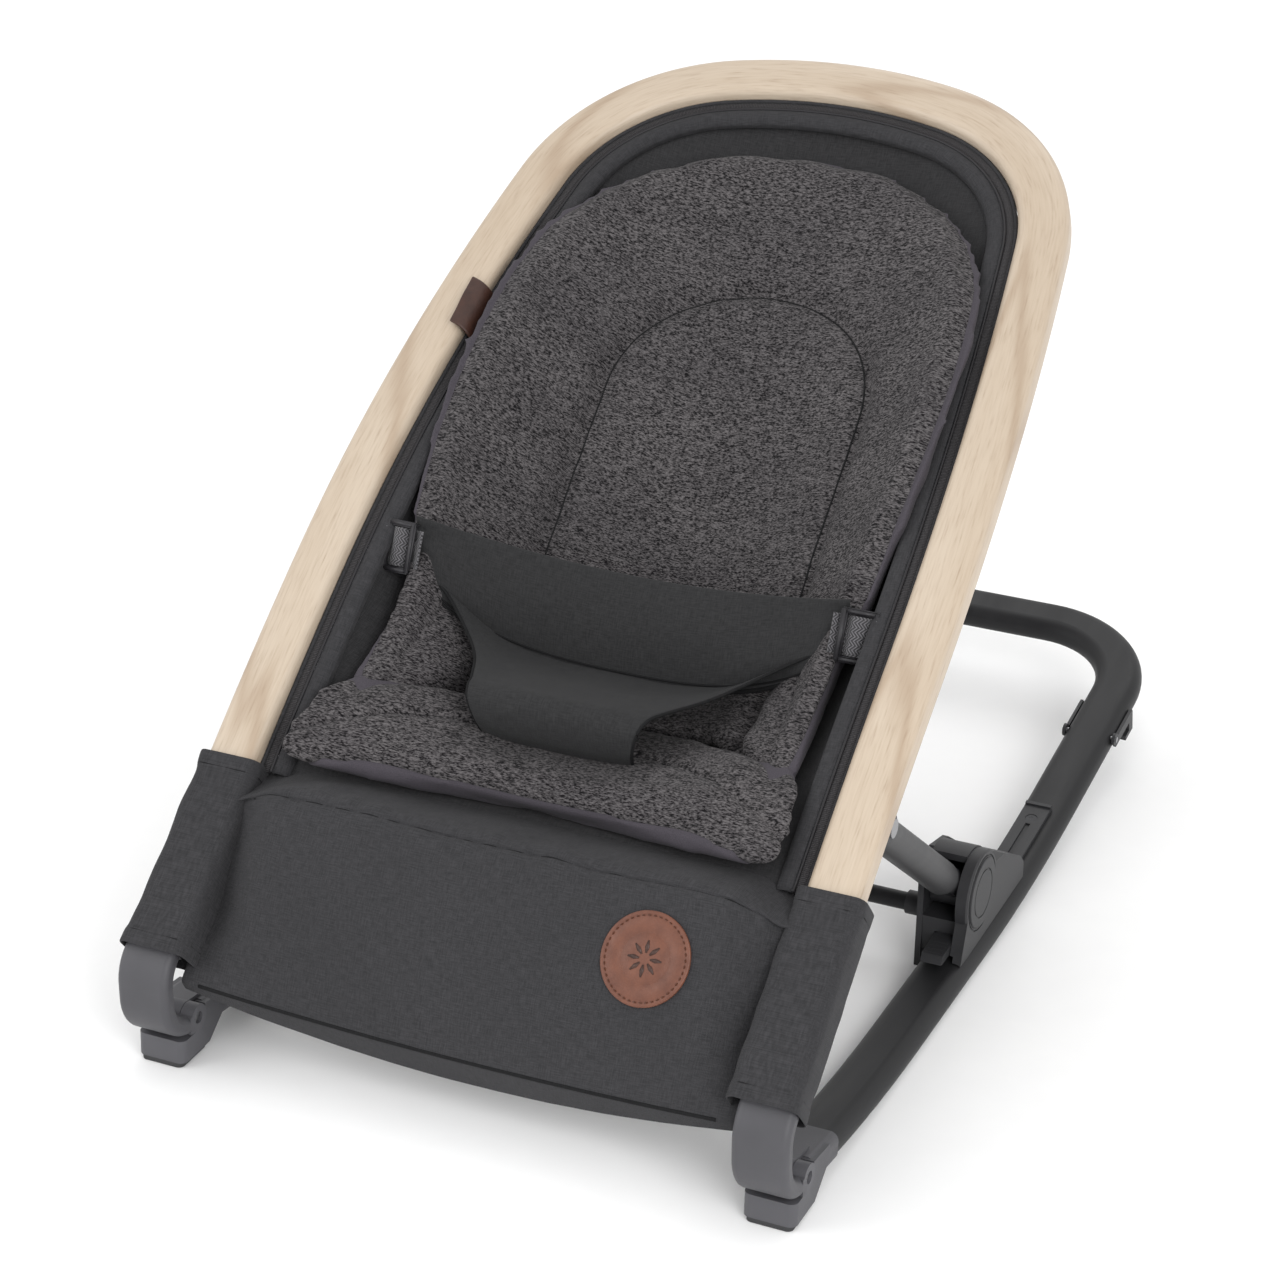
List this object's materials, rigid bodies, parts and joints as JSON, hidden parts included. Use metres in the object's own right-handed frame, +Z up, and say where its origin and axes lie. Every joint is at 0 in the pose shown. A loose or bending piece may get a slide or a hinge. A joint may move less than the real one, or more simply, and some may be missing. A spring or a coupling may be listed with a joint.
{
  "type": "baby bouncer seat",
  "caption": "Baby bouncer with a bentwood arch seat frame, fabric sling, padded liner and belly band, hinged on a curved tubular rocker base with sliding strut carriages.",
  "frame": {"origin": "middle of the footprint on the floor", "axes": "+X to the right, +Y from the feet to the head end, +Z up"},
  "size_m": [0.4558, 0.7569, 0.5062],
  "materials": {
    "rail_metal": "satin charcoal powder coat on aluminium tube",
    "frame_steel": "bare tube hidden in the sleeves",
    "arm_plastic": "satin grey moulded plastic",
    "hub_plastic": "satin charcoal moulded plastic",
    "foot_rubber": "matt rubber",
    "fastener_steel": "plated steel",
    "maple": "clear satin lacquer on pale bent wood",
    "sling_fabric": "fine woven charcoal polyester",
    "cushion_knit": "heathered dark grey knit over thin foam",
    "webbing": "grey chevron webbing",
    "buckle_plastic": "satin black plastic",
    "leather": "brown leather with stitched edge"
  },
  "bodies": {
    "base": {"base_tube": "rail_metal", "base_end_left": "arm_plastic", "base_end_right": "arm_plastic", "foot_pad_left": "foot_rubber", "foot_pad_right": "foot_rubber", "hinge_pins": "fastener_steel", "track_left": "hub_plastic", "track_right": "hub_plastic", "track_screws": "fastener_steel", "stop_foot_pins": "fastener_steel"},
    "seat": {"wood_arch": "maple", "leg_left": "frame_steel", "leg_right": "frame_steel", "curved_arm_left": "arm_plastic", "curved_arm_right": "arm_plastic", "arch_bolts": "fastener_steel", "pivot_bracket_left": "hub_plastic", "pivot_bracket_right": "hub_plastic", "pivot_pins": "fastener_steel", "sling": "sling_fabric", "sling_rim": "sling_fabric", "seat_cushion": "cushion_knit", "back_cushion": "cushion_knit", "apron": "sling_fabric", "sleeve_left": "sling_fabric", "sleeve_right": "sling_fabric", "belly_band": "sling_fabric", "crotch_strap": "sling_fabric", "webbing_left": "webbing", "webbing_right": "webbing", "buckle_left": "buckle_plastic", "buckle_right": "buckle_plastic", "leather_patch": "leather", "leather_tag": "leather"},
    "struts": {"strut_tube_left": "rail_metal", "strut_tube_right": "rail_metal", "strut_upper_ends": "hub_plastic", "strut_lower_ends": "hub_plastic"},
    "carriage": {"hub_body_left": "hub_plastic", "hub_body_right": "hub_plastic", "hub_cover_left": "hub_plastic", "hub_cover_right": "hub_plastic", "hub_cap_left": "hub_plastic", "hub_cap_right": "hub_plastic", "hub_axles": "fastener_steel", "hub_screws": "fastener_steel", "cross_tube": "rail_metal", "cross_tube_collars": "hub_plastic", "lever_spring_left": "fastener_steel", "lever_spring_right": "fastener_steel"},
    "lever_left": {"release_lever_left": "hub_plastic"},
    "lever_right": {"release_lever_right": "hub_plastic"},
    "stop_foot_left": {"stop_foot_left": "hub_plastic"},
    "stop_foot_right": {"stop_foot_right": "hub_plastic"}
  },
  "joints": [
    {"name": "seat_recline", "type": "hinge", "parent": "base", "child": "seat", "pos_m": [0, -0.3424, 0.028], "axis": [-1, 0, 0], "range_deg": [0, 18]},
    {"name": "strut_swing", "type": "hinge", "parent": "seat", "child": "struts", "pos_m": [0, -0.196, 0.1849], "axis": [1, 0, 0], "range_deg": [0, 35.79]},
    {"name": "carriage_travel", "type": "hinge", "parent": "base", "child": "carriage", "pos_m": [0, -0.0294, 1.0895], "axis": [1, 0, 0], "range_deg": [0, 4.06]},
    {"name": "release_left", "type": "slide", "parent": "carriage", "child": "lever_left", "axis": [0, 1, 0], "range_m": [0, 0.005], "stiffness_N_per_m": 600, "springref_m": -0.002},
    {"name": "release_right", "type": "slide", "parent": "carriage", "child": "lever_right", "axis": [0, 1, 0], "range_m": [0, 0.005], "stiffness_N_per_m": 600, "springref_m": -0.002},
    {"name": "stop_foot_left_fold", "type": "hinge", "parent": "base", "child": "stop_foot_left", "pos_m": [-0.2075, 0.2341, 0.04176], "axis": [-1, 0, 0], "range_deg": [0, 95]},
    {"name": "stop_foot_right_fold", "type": "hinge", "parent": "base", "child": "stop_foot_right", "pos_m": [0.2075, 0.2341, 0.04176], "axis": [-1, 0, 0], "range_deg": [0, 95]}
  ],
  "couplings": [
    {"joint": "strut_swing", "follows": "seat_recline", "ratio": 1.9772},
    {"joint": "carriage_travel", "follows": "seat_recline", "ratio": 0.22469}
  ]
}
